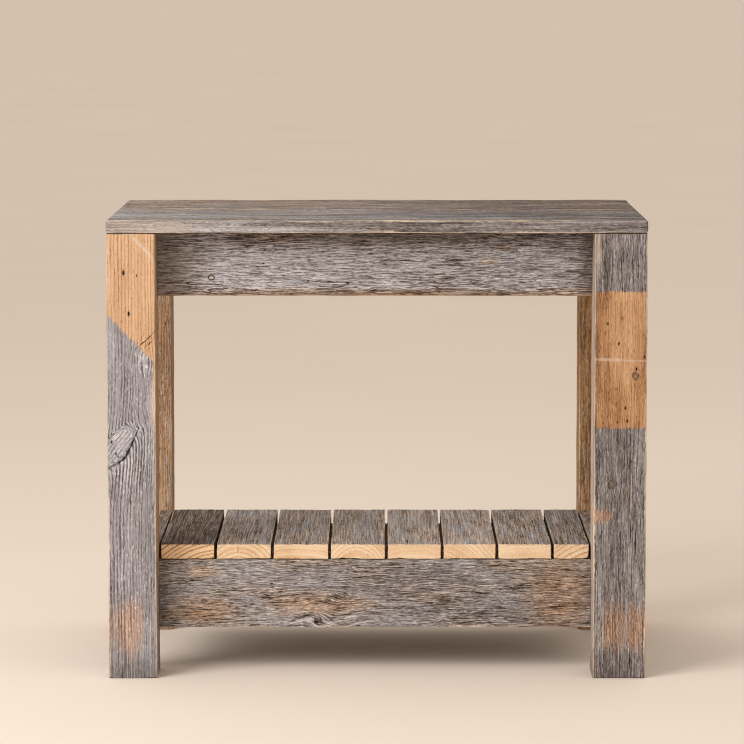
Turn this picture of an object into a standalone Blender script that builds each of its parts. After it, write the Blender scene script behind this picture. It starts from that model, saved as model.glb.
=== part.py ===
"""Open vanity stand of reclaimed barn wood.

It has a boarded top, four posts, mortised aprons and rails, and a slatted shelf.

Metres, +Z up. The origin is on the floor, under the centre of the stand's outer box.
The front faces -Y, left and right are seen from the front.
"""
import math

import bmesh
import bpy
from mathutils import Matrix, Vector

# Overall size
WIDTH = 0.9144
DEPTH = 0.5334
HEIGHT = 0.783

# Timber sections
BOARD = 0.022
TOP_THICKNESS = 0.0225
FRONT_BOARD_DEPTH = 0.270
MIDDLE_BOARD_DEPTH = 0.180
TOP_JOINT = 0.0008
LEFT_POST_WIDTH = 0.083
RIGHT_POST_WIDTH = 0.0905
POST_DEPTH = 0.089
APRON_HEIGHT = 0.112
RAIL_HEIGHT = 0.119
ARRIS = 0.0015

# Shelf
SHELF_HEIGHT = 0.221
SLAT_THICKNESS = 0.0265
SLAT_SETBACK = 0.010
SLAT_WIDTHS = (0.093, 0.094, 0.0945, 0.094, 0.0925, 0.090, 0.092, 0.061)
SLAT_GAP = 0.0036
SHELF_END_GAP = 0.002

# Joinery
FIT = 0.0003
TENON_THICKNESS = 0.010
TENON_LENGTH = 0.045
TENON_SHOULDER = 0.010
APRON_TENON_HEIGHT = 0.040
RAIL_TENON_HEIGHT = 0.052
TENON_ROOT = 0.010
PEG_RADIUS = 0.004
PEG_LENGTH = 0.040
PEG_CHAMFER = 0.0006
PEG_FROM_SHOULDER = 0.030
DOWEL_RADIUS = 0.005
DOWEL_LENGTH = 0.038
DOWEL_CHAMFER = 0.001
DOWEL_IN_TOP = 0.012
ROUND_SIDES = 12

# Cleats under the top, battens under the shelf, and the wood screws that hold them
CLEAT_WIDTH = 0.045
CLEAT_THICKNESS = 0.022
CLEAT_OFFSET = 0.240
CLEAT_SCREW_SETBACK = 0.060
HOUSING_DEPTH = 0.011
BATTEN_WIDTH = 0.040
BATTEN_THICKNESS = 0.022
BATTEN_FROM_RAIL = 0.003
BATTEN_END_GAP = 0.006
SCREW_LENGTH = 0.035
SCREW_RADIUS = 0.002
SCREW_HEAD_RADIUS = 0.004
SCREW_HEAD_RIM = 0.0004
SCREW_HEAD_HEIGHT = 0.0030
SCREW_TIP = 0.005
DRIVE_WIDTH = 0.0024
DRIVE_DEPTH = 0.0018

# How far a cutter runs out past the face that it cuts
OVERRUN = 0.005

# Turned pieces
MERGE_DISTANCE = 0.00001
SMOOTH_ANGLE = math.radians(35)

CENTRED = (0.0, 0.0, 0.0)

# Planes that the pieces share
LEFT = -WIDTH / 2
RIGHT = WIDTH / 2
FRONT = -DEPTH / 2
BACK = DEPTH / 2
INNER_LEFT = LEFT + LEFT_POST_WIDTH
INNER_RIGHT = RIGHT - RIGHT_POST_WIDTH
INNER_FRONT = FRONT + POST_DEPTH
INNER_BACK = BACK - POST_DEPTH
TOP_UNDERSIDE = HEIGHT - TOP_THICKNESS
FRAME_TOP = TOP_UNDERSIDE - FIT
APRON_BOTTOM = FRAME_TOP - APRON_HEIGHT
SHELF_UNDERSIDE = SHELF_HEIGHT - SLAT_THICKNESS
LONG_RAIL_TOP = SHELF_UNDERSIDE - FIT
LONG_RAIL_BOTTOM = LONG_RAIL_TOP - RAIL_HEIGHT
SIDE_RAIL_TOP = SHELF_HEIGHT
SIDE_RAIL_BOTTOM = SIDE_RAIL_TOP - RAIL_HEIGHT

# Finishes: colours are linear RGB
GREY = (0.22, 0.20, 0.185)
BLUE_GREY = (0.20, 0.205, 0.21)
BROWN_GREY = (0.19, 0.165, 0.145)
HONEY = (0.50, 0.27, 0.12)
FRESH_PINE = (0.72, 0.45, 0.24)
DOWEL_WOOD = (0.60, 0.38, 0.20)
SCREW_STEEL = (0.55, 0.54, 0.52)
WOOD_ROUGHNESS = 0.85
DOWEL_ROUGHNESS = 0.7
STEEL_ROUGHNESS = 0.4


def clear_scene():
    for thing in list(bpy.data.objects):
        bpy.data.objects.remove(thing, do_unlink=True)


def finish_of(name, colour, roughness, metallic):
    """A plain Principled material for one sub-part."""
    material = bpy.data.materials.new(name + "_finish")
    material.use_nodes = True
    shader = material.node_tree.nodes["Principled BSDF"]
    shader.inputs["Base Color"].default_value = (*colour, 1.0)
    shader.inputs["Roughness"].default_value = roughness
    shader.inputs["Metallic"].default_value = metallic
    material.diffuse_color = (*colour, 1.0)
    return material


def place(name, mesh, location=CENTRED):
    """Links a new object under the stand's empty."""
    thing = bpy.data.objects.new(name, mesh)
    bpy.context.scene.collection.objects.link(thing)
    thing.location = location
    thing.parent = stand
    return thing


def add_box(shape, low, high):
    """Adds a box between two corners to a bmesh."""
    low, high = Vector(low), Vector(high)
    placing = Matrix.Translation((low + high) / 2) @ Matrix.Diagonal((*(high - low), 1.0))
    bmesh.ops.create_cube(shape, size=1.0, matrix=placing)


def box_mesh(name, boxes):
    mesh = bpy.data.meshes.new(name)
    shape = bmesh.new()
    for low, high in boxes:
        add_box(shape, low, high)
    shape.to_mesh(mesh)
    shape.free()
    return mesh


def timber(name, low, high, colour):
    """A sawn piece between two corners, with its arrises taken off. Its origin is its centre."""
    low, high = Vector(low), Vector(high)
    centre = (low + high) / 2
    piece = place(name, box_mesh(name, [(low - centre, high - centre)]), centre)
    piece.data.materials.append(finish_of(name, colour, WOOD_ROUGHNESS, 0.0))
    arris = piece.modifiers.new("arris", "BEVEL")
    arris.width = ARRIS
    arris.segments = 1
    arris.limit_method = "ANGLE"
    return piece


def guide(name, mesh):
    """A shape that only cuts or extends others. It is no part of the stand."""
    shape = place(name, mesh)
    shape.hide_render = True
    shape.display_type = "WIRE"
    return shape


def combine(piece, shape, operation):
    step = piece.modifiers.new(operation.lower() + "_" + shape.name, "BOOLEAN")
    step.operation = operation
    step.solver = "EXACT"
    step.object = shape


def grown(low, high, by):
    """The box between two corners, larger by a margin on every side."""
    margin = Vector((by, by, by))
    return Vector(low) - margin, Vector(high) + margin


def turned_mesh(name, profiles):
    """Closed turned solids about +Z, one for each (centre, profile).

    A profile is (radius, z) from pole to pole.
    """
    mesh = bpy.data.meshes.new(name)
    shape = bmesh.new()
    for centre, profile in profiles:
        points = [shape.verts.new(Vector((radius, 0.0, z)) + Vector(centre)) for radius, z in profile]
        edges = [shape.edges.new(pair) for pair in zip(points, points[1:])]
        bmesh.ops.spin(
            shape,
            geom=points + edges,
            cent=centre,
            axis=(0.0, 0.0, 1.0),
            angle=2 * math.pi,
            steps=ROUND_SIDES,
            use_merge=True,
        )
    bmesh.ops.remove_doubles(shape, verts=shape.verts, dist=MERGE_DISTANCE)
    bmesh.ops.recalc_face_normals(shape, faces=shape.faces)
    shape.to_mesh(mesh)
    shape.free()
    return mesh


def pin_profile(radius, length, chamfer):
    """A round pin from z = 0 up, with chamfered ends."""
    return [
        (0.0, 0.0),
        (radius - chamfer, 0.0),
        (radius, chamfer),
        (radius, length - chamfer),
        (radius - chamfer, length),
        (0.0, length),
    ]


def hole_profile(radius, length, below=OVERRUN):
    """A straight hole for a pin, run out below z = 0."""
    return [
        (0.0, -below),
        (radius + FIT, -below),
        (radius + FIT, length + FIT),
        (0.0, length + FIT),
    ]


def screw_profile(margin):
    """A countersunk wood screw from its head's face up. A margin makes the hole that it sits in."""
    shank = SCREW_RADIUS + margin
    head = SCREW_HEAD_RADIUS + margin
    start = -OVERRUN if margin else 0.0
    return [
        (0.0, start),
        (head, start),
        (head, SCREW_HEAD_RIM + margin),
        (shank, SCREW_HEAD_HEIGHT + margin),
        (shank, SCREW_LENGTH - SCREW_TIP + margin),
        (0.0, SCREW_LENGTH + 2 * margin),
    ]


def screw_mesh():
    """One screw with a square drive recess, used by all the screws."""
    blank = place("screw_blank", turned_mesh("screw_blank", [(CENTRED, screw_profile(0.0))]))
    half = DRIVE_WIDTH / 2
    drive = guide("drive", box_mesh("drive", [((-half, -half, -OVERRUN), (half, half, DRIVE_DEPTH))]))
    combine(blank, drive, "DIFFERENCE")
    mesh = bpy.data.meshes.new_from_object(blank.evaluated_get(bpy.context.evaluated_depsgraph_get()))
    bpy.data.objects.remove(blank, do_unlink=True)
    mesh.name = "screw"
    mesh.shade_smooth()
    mesh.set_sharp_from_angle(angle=SMOOTH_ANGLE)
    mesh.materials.append(finish_of("screw", SCREW_STEEL, STEEL_ROUGHNESS, 1.0))
    return mesh


def make_posts():
    """Four square posts. The left pair is a little slimmer than the right pair."""
    across = {"left": (LEFT, INNER_LEFT), "right": (INNER_RIGHT, RIGHT)}
    along = {"front": (FRONT, INNER_FRONT), "rear": (INNER_BACK, BACK)}
    colours = {("front", "left"): BLUE_GREY, ("front", "right"): BLUE_GREY}
    posts = {}
    for end, (y0, y1) in along.items():
        for side, (x0, x1) in across.items():
            colour = colours.get((end, side), HONEY)
            name = "leg_" + end + "_" + side
            posts[end, side] = timber(name, (x0, y0, 0.0), (x1, y1, FRAME_TOP), colour)
    return posts


def tenon_band(low_z, high_z, height, upper):
    """The part of a board's height that its tenon takes. Long and side boards take opposite halves."""
    if upper:
        return high_z - TENON_SHOULDER - height, high_z - TENON_SHOULDER
    return low_z + TENON_SHOULDER, low_z + TENON_SHOULDER + height


def join_tenon(board, post, low, high):
    """Adds a tenon to a board and cuts its mortise in the post."""
    combine(board, guide(board.name + "_tenon_" + post.name, box_mesh("tenon", [(low, high)])), "UNION")
    cutter = guide(board.name + "_mortise_" + post.name, box_mesh("mortise", [grown(low, high, FIT)]))
    combine(post, cutter, "DIFFERENCE")


def long_board(name, end, z0, z1, tenon_height, upper, colour, posts):
    """An apron or rail between the left and right posts, flush with the posts' inner faces."""
    y0 = INNER_FRONT - BOARD if end == "front" else INNER_BACK
    board = timber(name, (INNER_LEFT + FIT, y0, z0), (INNER_RIGHT - FIT, y0 + BOARD, z1), colour)
    low_z, high_z = tenon_band(z0, z1, tenon_height, upper)
    low_y = y0 + (BOARD - TENON_THICKNESS) / 2
    for side, face, out in (("left", INNER_LEFT, -1), ("right", INNER_RIGHT, 1)):
        ends = sorted((face + out * TENON_LENGTH, face - out * TENON_ROOT))
        low = (ends[0], low_y, low_z)
        high = (ends[1], low_y + TENON_THICKNESS, high_z)
        join_tenon(board, posts[end, side], low, high)
        peg_x = face + out * PEG_FROM_SHOULDER
        drive_peg(name, board, posts[end, side], end, side, peg_x, (low_z + high_z) / 2)
    return board


def drive_peg(name, board, post, end, side, x, z):
    """A peg from the post's inner face through the tenon, so that the outer faces stay clean."""
    face = INNER_FRONT if end == "front" else INNER_BACK
    turn = math.pi / 2 if end == "front" else -math.pi / 2
    pin = pin_profile(PEG_RADIUS, PEG_LENGTH, PEG_CHAMFER)
    bore = hole_profile(PEG_RADIUS, PEG_LENGTH)
    peg = place("peg_" + name + "_" + side, turned_mesh("peg", [(CENTRED, pin)]))
    hole = guide("peg_hole_" + name + "_" + side, turned_mesh("peg_hole", [(CENTRED, bore)]))
    for thing in (peg, hole):
        thing.location = (x, face, z)
        thing.rotation_euler = (turn, 0.0, 0.0)
    peg.data.materials.append(finish_of(peg.name, DOWEL_WOOD, DOWEL_ROUGHNESS, 0.0))
    combine(post, hole, "DIFFERENCE")
    combine(board, hole, "DIFFERENCE")


def side_board(name, side, z0, z1, tenon_height, upper, colour, posts):
    """An apron or rail between the front and rear posts, flush with the posts' inner faces."""
    x0 = INNER_LEFT - BOARD if side == "left" else INNER_RIGHT
    board = timber(name, (x0, INNER_FRONT + FIT, z0), (x0 + BOARD, INNER_BACK - FIT, z1), colour)
    low_z, high_z = tenon_band(z0, z1, tenon_height, upper)
    low_x = x0 + (BOARD - TENON_THICKNESS) / 2
    for end, face, out in (("front", INNER_FRONT, -1), ("rear", INNER_BACK, 1)):
        ends = sorted((face + out * TENON_LENGTH, face - out * TENON_ROOT))
        low = (low_x, ends[0], low_z)
        high = (low_x + TENON_THICKNESS, ends[1], high_z)
        join_tenon(board, posts[end, side], low, high)
    return board


def make_frame_boards(posts):
    """Aprons under the top, and rails under the shelf. The side rails stand level with the shelf."""
    boards = {}
    for end, colour in (("front", GREY), ("rear", BROWN_GREY)):
        boards["apron", end] = long_board(
            "apron_" + end, end, APRON_BOTTOM, FRAME_TOP, APRON_TENON_HEIGHT, True, colour, posts
        )
        boards["rail", end] = long_board(
            "rail_" + end, end, LONG_RAIL_BOTTOM, LONG_RAIL_TOP, RAIL_TENON_HEIGHT, False, colour, posts
        )
    for side in ("left", "right"):
        boards["apron", side] = side_board(
            "apron_" + side, side, APRON_BOTTOM, FRAME_TOP, APRON_TENON_HEIGHT, False, BROWN_GREY, posts
        )
        boards["rail", side] = side_board(
            "rail_" + side, side, SIDE_RAIL_BOTTOM, SIDE_RAIL_TOP, RAIL_TENON_HEIGHT, True, GREY, posts
        )
    return boards


def make_top():
    """Three boards side by side, flush with the posts all round."""
    middle_start = FRONT + FRONT_BOARD_DEPTH + TOP_JOINT
    rear_start = middle_start + MIDDLE_BOARD_DEPTH + TOP_JOINT
    spans = {
        "front": (FRONT, middle_start - TOP_JOINT),
        "middle": (middle_start, rear_start - TOP_JOINT),
        "rear": (rear_start, BACK),
    }
    return {
        part: timber("top_board_" + part, (LEFT, y0, TOP_UNDERSIDE), (RIGHT, y1, HEIGHT), BROWN_GREY)
        for part, (y0, y1) in spans.items()
    }


def make_dowels(posts, top):
    """A blind dowel in each post's head holds the front and rear boards of the top."""
    centres_x = {"left": (LEFT + INNER_LEFT) / 2, "right": (INNER_RIGHT + RIGHT) / 2}
    centres_y = {"front": (FRONT + INNER_FRONT) / 2, "rear": (INNER_BACK + BACK) / 2}
    foot = TOP_UNDERSIDE + DOWEL_IN_TOP - DOWEL_LENGTH
    for end, y in centres_y.items():
        for side, x in centres_x.items():
            name = "top_dowel_" + end + "_" + side
            pin = pin_profile(DOWEL_RADIUS, DOWEL_LENGTH, DOWEL_CHAMFER)
            dowel = place(name, turned_mesh("dowel", [(CENTRED, pin)]), (x, y, foot))
            dowel.data.materials.append(finish_of(name, DOWEL_WOOD, DOWEL_ROUGHNESS, 0.0))
            bore = hole_profile(DOWEL_RADIUS, DOWEL_LENGTH, FIT)
            hole = guide(name + "_hole", turned_mesh("dowel_hole", [(CENTRED, bore)]))
            hole.location = dowel.location
            combine(posts[end, side], hole, "DIFFERENCE")
            combine(top[end], hole, "DIFFERENCE")


def drive_screws(names_and_points, mesh, pieces, guide_name):
    """Upright screws with their heads just inside the lowest piece, and the holes for them."""
    raised = [(name, Vector(point) + Vector((0, 0, FIT))) for name, point in names_and_points]
    for name, point in raised:
        place(name, mesh, point)
    profiles = [(point, screw_profile(FIT)) for _, point in raised]
    holes = guide(guide_name, turned_mesh(guide_name, profiles))
    for piece in pieces:
        combine(piece, holes, "DIFFERENCE")


def make_top_cleats(boards, top, screw):
    """Two cleats under the top, housed in the aprons' upper edges and screwed up into the top."""
    low_z = FRAME_TOP - CLEAT_THICKNESS
    screw_y = {
        "front": FRONT + FRONT_BOARD_DEPTH - CLEAT_SCREW_SETBACK,
        "middle": FRONT + FRONT_BOARD_DEPTH + MIDDLE_BOARD_DEPTH / 2,
    }
    for side, x in (("left", -CLEAT_OFFSET), ("right", CLEAT_OFFSET)):
        low = (x - CLEAT_WIDTH / 2, INNER_FRONT - HOUSING_DEPTH + FIT, low_z)
        high = (x + CLEAT_WIDTH / 2, INNER_BACK + HOUSING_DEPTH - FIT, FRAME_TOP)
        cleat = timber("top_cleat_" + side, low, high, FRESH_PINE)
        housing = grown(low, high, FIT)
        housing[1].z += OVERRUN
        cutter = guide("housing_" + side, box_mesh("housing", [housing]))
        combine(boards["apron", "front"], cutter, "DIFFERENCE")
        combine(boards["apron", "rear"], cutter, "DIFFERENCE")
        points = [("top_screw_" + side + "_" + part, (x, y, low_z)) for part, y in screw_y.items()]
        drive_screws(points, screw, (cleat, top["front"], top["middle"]), "top_screw_holes_" + side)


def slat_spans():
    """The left and right edge of each slat."""
    spans = []
    x = INNER_LEFT + SHELF_END_GAP
    for width in SLAT_WIDTHS:
        spans.append((x, x + width))
        x += width + SLAT_GAP
    return spans


def make_shelf(screw):
    """Slats running front to back over the long rails, tied by two battens just inside the rails.

    Their front ends are flush with the front rail. Their rear ends stop short of the rear rail's face.
    """
    front, back = INNER_FRONT - BOARD, INNER_BACK + BOARD - SLAT_SETBACK
    slats = [
        timber("slat_" + str(number), (x0, front, SHELF_UNDERSIDE), (x1, back, SHELF_HEIGHT), GREY)
        for number, (x0, x1) in enumerate(slat_spans(), start=1)
    ]
    low_z = LONG_RAIL_TOP - BATTEN_THICKNESS
    starts = {
        "front": INNER_FRONT + BATTEN_FROM_RAIL,
        "rear": INNER_BACK - BATTEN_FROM_RAIL - BATTEN_WIDTH,
    }
    for end, y0 in starts.items():
        low = (INNER_LEFT + BATTEN_END_GAP, y0, low_z)
        high = (INNER_RIGHT - BATTEN_END_GAP, y0 + BATTEN_WIDTH, LONG_RAIL_TOP)
        batten = timber("shelf_batten_" + end, low, high, FRESH_PINE)
        y = y0 + BATTEN_WIDTH / 2
        points = [
            ("slat_screw_" + end + "_" + str(number), ((x0 + x1) / 2, y, low_z))
            for number, (x0, x1) in enumerate(slat_spans(), start=1)
        ]
        drive_screws(points, screw, (batten, *slats), "slat_screw_holes_" + end)


def main():
    posts = make_posts()
    boards = make_frame_boards(posts)
    top = make_top()
    make_dowels(posts, top)
    screw = screw_mesh()
    make_top_cleats(boards, top, screw)
    make_shelf(screw)


clear_scene()
stand = bpy.data.objects.new("stand", None)
bpy.context.scene.collection.objects.link(stand)
main()
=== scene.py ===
"""Looks of an open vanity stand of reclaimed barn wood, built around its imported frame.

Every timber is a fine closed shell laid over its CAD solid. Worn arrises, eroded grain, checks, nail holes
and knots are in the mesh, and the same marks colour the wood in its node material.

Lengths are metres. Each timber has board coordinates measured from its lowest corner: u runs along the grain,
v across the face and w through the thickness.
"""

import itertools
import math
import random
from dataclasses import dataclass, field

import bpy
import numpy as np
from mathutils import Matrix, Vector


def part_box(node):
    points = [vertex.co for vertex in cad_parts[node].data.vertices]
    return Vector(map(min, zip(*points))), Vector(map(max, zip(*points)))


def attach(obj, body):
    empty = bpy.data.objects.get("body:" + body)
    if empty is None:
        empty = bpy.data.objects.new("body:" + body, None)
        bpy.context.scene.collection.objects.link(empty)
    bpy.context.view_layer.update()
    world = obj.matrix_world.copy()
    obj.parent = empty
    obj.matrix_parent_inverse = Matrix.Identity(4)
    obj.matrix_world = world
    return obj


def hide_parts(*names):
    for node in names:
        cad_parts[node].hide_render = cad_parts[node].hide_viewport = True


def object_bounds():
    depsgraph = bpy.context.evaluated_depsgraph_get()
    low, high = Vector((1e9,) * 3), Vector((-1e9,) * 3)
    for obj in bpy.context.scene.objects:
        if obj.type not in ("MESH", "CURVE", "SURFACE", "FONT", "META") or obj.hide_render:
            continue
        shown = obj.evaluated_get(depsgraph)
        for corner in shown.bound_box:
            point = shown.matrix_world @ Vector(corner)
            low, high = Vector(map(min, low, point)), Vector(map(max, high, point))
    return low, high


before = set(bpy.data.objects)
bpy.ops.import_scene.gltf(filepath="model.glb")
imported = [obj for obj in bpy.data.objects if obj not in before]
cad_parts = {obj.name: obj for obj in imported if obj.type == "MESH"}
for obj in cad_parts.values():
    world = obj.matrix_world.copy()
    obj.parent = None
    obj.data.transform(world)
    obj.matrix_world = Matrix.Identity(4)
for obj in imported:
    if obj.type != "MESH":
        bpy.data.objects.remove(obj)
cad_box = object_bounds()

# Grid of the shells
ACROSS_PITCH = 0.0014
ALONG_PITCH = 0.0052
ARRIS_STEPS = (0.0, 0.0005, 0.0011, 0.0018, 0.0028, 0.0042)
CLOSEST_STOPS = 0.0003
FINE_MARK = 0.004

# Arrises: their radius, what varies it, and how far in their wear and painted highlight show
ARRIS_RADIUS = 0.0016
ARRIS_RADIUS_SPREAD = 0.0014
CHIP_RADIUS = 0.002
LEAST_RADIUS = 0.0005
SOFT_END_LENGTH = 0.006
WEAR_WIDTH = 0.0035

# A board tenoned between posts runs on into their worn surfaces, and its arrises are sharp there
SHOULDER_REACH = 0.0008
JOINT_WEAR = 0.006

# How deep weather, nails and shrinkage have gone, and the share that end grain is spared
BASE_RECESS = 0.00035
RING_RELIEF = 0.00035
STREAK_RELIEF = 0.0003
FIBRE_RELIEF = 0.00018
WAVE_RELIEF = 0.0006
HOLE_DEPTH = 0.003
CHECK_DEPTH = 0.0022
KNOT_SWELL = 0.0003
END_SPARED = 0.6

# Fibres wander by (amount, length along, length across), and part round a knot
SLOW_WANDER = (0.0016, 0.3, 0.06)
QUICK_WANDER = (0.0006, 0.035, 0.012)
KNOT_PUSH = 0.62
PUSH_STEEPNESS = 1.5
PUSH_LENGTH = 2.0
PUSH_WIDTH = 3.0
BRANCH_RIM = (0.85, 1.15)

# How far rings wave, and how far the width of a year varies
RING_WAVE = 0.0012
YEAR_SPREAD = 0.0016

# Strays: the depth of small knots and checks, and the spacing and size of wormholes
STRAY_DEPTH = 0.01
STRAY_CELL = 0.03
STRAY_HOLE = 0.001

# Further than any mark or plane can be
FAR = 9.0

# Which way board coordinates run: the world axes (0 x, 1 y, 2 z) of u, v and w
POST_AXES = (2, 0, 1)
LONG_BOARD_AXES = (0, 2, 1)
SIDE_BOARD_AXES = (1, 2, 0)
TOP_AXES = (0, 1, 2)
SLAT_AXES = (1, 0, 2)

# Faces of a timber, as (board axis, far side or not)
EDGES_AND_BACK = ((1, False), (1, True), (2, True))
BOTTOM_AND_TOP = ((2, False), (2, True))

FRONT_POSTS = ("leg_front_left", "leg_front_right")
REAR_POSTS = ("leg_rear_left", "leg_rear_right")


def add_object(name, data):
    """A new object in the scene."""
    made = bpy.data.objects.new(name, data)
    bpy.context.scene.collection.objects.link(made)
    return made


# -------- marks in the wood


@dataclass
class Mark:
    """An ellipsoid in board coordinates: a knot, a hole, a check or a stain. It may be turned about w."""

    centre: tuple
    size: tuple
    turn: float = 0.0

    def local(self, points):
        """Board coordinates turned and scaled to the mark: its surface is the unit sphere."""
        offset = points - np.array(self.centre)
        cosine, sine = math.cos(self.turn), math.sin(self.turn)
        along = offset[:, 0] * cosine + offset[:, 1] * sine
        across = offset[:, 1] * cosine - offset[:, 0] * sine
        return np.stack((along, across, offset[:, 2]), axis=1) / np.array(self.size)

    def reach(self, points):
        """0 at the mark's centre and 1 on its surface, for an array of board coordinates."""
        return np.linalg.norm(self.local(points), axis=1)

    def around(self, points, reach):
        """Which points lie within so many of the mark's longest half-size."""
        span = reach * max(self.size)
        return np.nonzero(np.all(np.abs(points - np.array(self.centre)) < span, axis=1))[0]


@dataclass
class Plane:
    """A plane in board coordinates. Its normal points to its positive side."""

    point: tuple
    normal: tuple


def no_marks():
    return field(default_factory=list)


@dataclass
class Timber:
    """One piece of wood: how its grain runs and what time has done to it."""

    node: str
    axes: tuple
    slot: str
    seed: int
    between: tuple = ()

    # Grain: where the pith is, how it slopes, how wide the years are, and how the fibres run
    pith: tuple = (0.04, -0.05)
    slope: float = 0.02
    spacing: float = 0.0045
    wander: float = 1.0
    swirls: list = no_marks()
    spikes: list = no_marks()

    # Grey surface: how light it is, a painted light falloff along the board, and how much each pattern shows
    light: float = 1.0
    fade: float = 0.0
    brown: float = 0.5
    contrast: float = 1.0
    bands: float = 0.4
    strand: tuple = (0.04, 0.0018)
    flecks: float = 0.9
    rings: float = 0.5
    figures: list = no_marks()
    figure: float = 0.2
    bleach: float = 0.3

    # Covered surface: its regions, each a list of planes, and its colour
    honey: list = no_marks()
    soft_edge: float = 0.0014
    warmth: float = 0.0
    lined: float = 1.0
    mottled: float = 0.2
    greyed: float = 0.0

    # Arrises, paler where worn and as a painted highlight, ends, and a tint over everything
    arris_wear_and_highlight: float = 0.6
    rub: float = 0.0
    soft_ends: float = 0.0
    fresh_ends: bool = False
    tint: tuple = ()

    # Marks
    knots: list = no_marks()
    plugs: list = no_marks()
    holes: list = no_marks()
    checks: list = no_marks()
    stains: list = no_marks()
    stain_tint: tuple = (1.18, 0.96, 0.74)
    # Marks that darken the wood: mostly painted shade under the top, beside the posts and on a shaded face;
    # at the feet and on some edges, only darker
    shade_and_grime: list = no_marks()
    shade_and_grime_tint: tuple = (0.62, 0.58, 0.55)
    pales: list = no_marks()
    paled: float = 0.55
    stray_faces: tuple = EDGES_AND_BACK
    stray_knots: int = 1

    def place(self):
        """Takes its box from the frame. A board between two posts runs on into them."""
        low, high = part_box(self.node)
        if self.between:
            along = self.axes[0]
            low[along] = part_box(self.between[0])[1][along] - SHOULDER_REACH
            high[along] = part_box(self.between[1])[0][along] + SHOULDER_REACH
        self.low = np.array(low)
        self.extent = np.array(high) - np.array(low)
        self.size = self.extent[list(self.axes)]

    def from_end(self, board):
        """How far each point is from the nearer end."""
        return np.minimum(board[:, 0], self.size[0] - board[:, 0])


def spot(u, v, along, across, depth, turn=0.0):
    """A mark on the front face, given by its half-sizes."""
    return Mark((u, v, 0.0), (along, across, depth), turn)


def line_mark(start, end, width, depth):
    """A long thin mark between two (u, v) points on the front face."""
    du, dv = end[0] - start[0], end[1] - start[1]
    middle_u, middle_v = (start[0] + end[0]) / 2, (start[1] + end[1]) / 2
    return spot(middle_u, middle_v, math.hypot(du, dv) / 2, width / 2, depth, math.atan2(dv, du))


def hole(u, v, radius=0.0016):
    """A nail hole in the front face, drawn out along the grain."""
    return spot(u, v, radius * 1.8, radius * 0.85, 0.006)


def crack(points, width):
    """A check along a bent line of (u, v) points on the front face, widest halfway along."""
    pieces = []
    count = len(points) - 1
    for number, (start, end) in enumerate(zip(points, points[1:])):
        swell = math.sin(math.pi * (number + 0.5) / count) ** 2
        lap_u, lap_v = (end[0] - start[0]) * 0.12, (end[1] - start[1]) * 0.12
        first = (start[0] - lap_u, start[1] - lap_v)
        last = (end[0] + lap_u, end[1] + lap_v)
        pieces.append(line_mark(first, last, width * (0.25 + 0.75 * swell), 0.012))
    return pieces


def stray(timber, chance, axis, far, knot):
    """A small knot or check at a chance place on one face."""
    centre = [timber.size[0] * chance.uniform(0.06, 0.94), 0.0, 0.0]
    centre[3 - axis] = timber.size[3 - axis] * chance.uniform(0.15, 0.85)
    centre[axis] = timber.size[axis] if far else 0.0
    if knot:
        across = chance.uniform(0.004, 0.008)
        size = [across * 1.4, across, across]
    else:
        across = chance.uniform(0.0005, 0.001)
        size = [chance.uniform(0.015, 0.045), across, across]
    size[axis] = STRAY_DEPTH
    return Mark(tuple(centre), tuple(size))


def add_strays(timber):
    """Small knots and a check on each plainer face, at places drawn from the timber's seed."""
    chance = random.Random(timber.seed)
    for axis, far in timber.stray_faces:
        for _ in range(timber.stray_knots):
            timber.knots.append(stray(timber, chance, axis, far, True))
        timber.checks.append(stray(timber, chance, axis, far, False))


# -------- noise for the meshes


def hashed(cells, seed):
    """A repeatable number from 0 to 1 for each row of whole numbers."""
    x, y, z = (cells[:, i].astype(np.uint32) for i in range(3))
    mixed = x * np.uint32(374761393) + y * np.uint32(668265263) + z * np.uint32(2246822519)
    mixed += np.uint32(seed * 3266489917 % 4294967296)
    mixed = (mixed ^ (mixed >> np.uint32(13))) * np.uint32(1274126177)
    mixed = (mixed ^ (mixed >> np.uint32(15))) * np.uint32(2654435761)
    return (mixed ^ (mixed >> np.uint32(16))) / 4294967296.0


def smooth_step(low, high, value):
    """0 below low and 1 above high, with a smooth rise between them."""
    t = np.clip((value - low) / (high - low), 0, 1)
    return t * t * (3 - 2 * t)


def value_noise(points, seed):
    """Smooth noise from -1 to 1 with one cell to each unit."""
    base = np.floor(points).astype(np.int64)
    part = points - base
    part = part * part * (3 - 2 * part)
    total = np.zeros(len(points))
    for corner in itertools.product((0, 1), repeat=3):
        weight = np.ones(len(points))
        for axis, up in enumerate(corner):
            weight *= part[:, axis] if up else 1 - part[:, axis]
        total += weight * hashed(base + np.array(corner), seed)
    return 2 * total - 1


def grain_noise(points, along, across, seed):
    """Noise with features of one length along the grain and another across it."""
    return value_noise(points / np.array((along, across, across)), seed)


# -------- shells


def stops(length, pitch, extra):
    """Grid lines along one side of a timber, closer together at arrises and fine marks."""
    inset = ARRIS_STEPS[-1]
    count = max(2, round((length - 2 * inset) / pitch))
    middle = np.linspace(inset, length - inset, count + 1)
    ends = np.array(ARRIS_STEPS)
    marked = np.clip(extra, inset, length - inset)
    lines = np.sort(np.concatenate((ends, middle, length - ends, marked)))
    kept = [lines[0]]
    for line in lines[1:]:
        if line - kept[-1] > CLOSEST_STOPS:
            kept.append(line)
    kept[-1] = length
    return np.array(kept)


def fine_lines(timber, channel):
    """Extra grid lines through small holes and checks. Along the grain, checks need none."""
    marks = timber.holes if channel == 0 else timber.holes + timber.checks
    lines = []
    for mark in marks:
        reach = mark.size[channel]
        if reach < FINE_MARK:
            lines += [mark.centre[channel] + step * reach for step in (-1.0, -0.4, 0.4, 1.0)]
    return np.array(lines)


def grid_of(timber):
    """The shell's grid lines along each world axis."""
    pitches = (ALONG_PITCH, ACROSS_PITCH, ACROSS_PITCH)
    lines = [None, None, None]
    for channel, axis in enumerate(timber.axes):
        lines[axis] = stops(timber.extent[axis], pitches[channel], fine_lines(timber, channel))
    return lines


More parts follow.
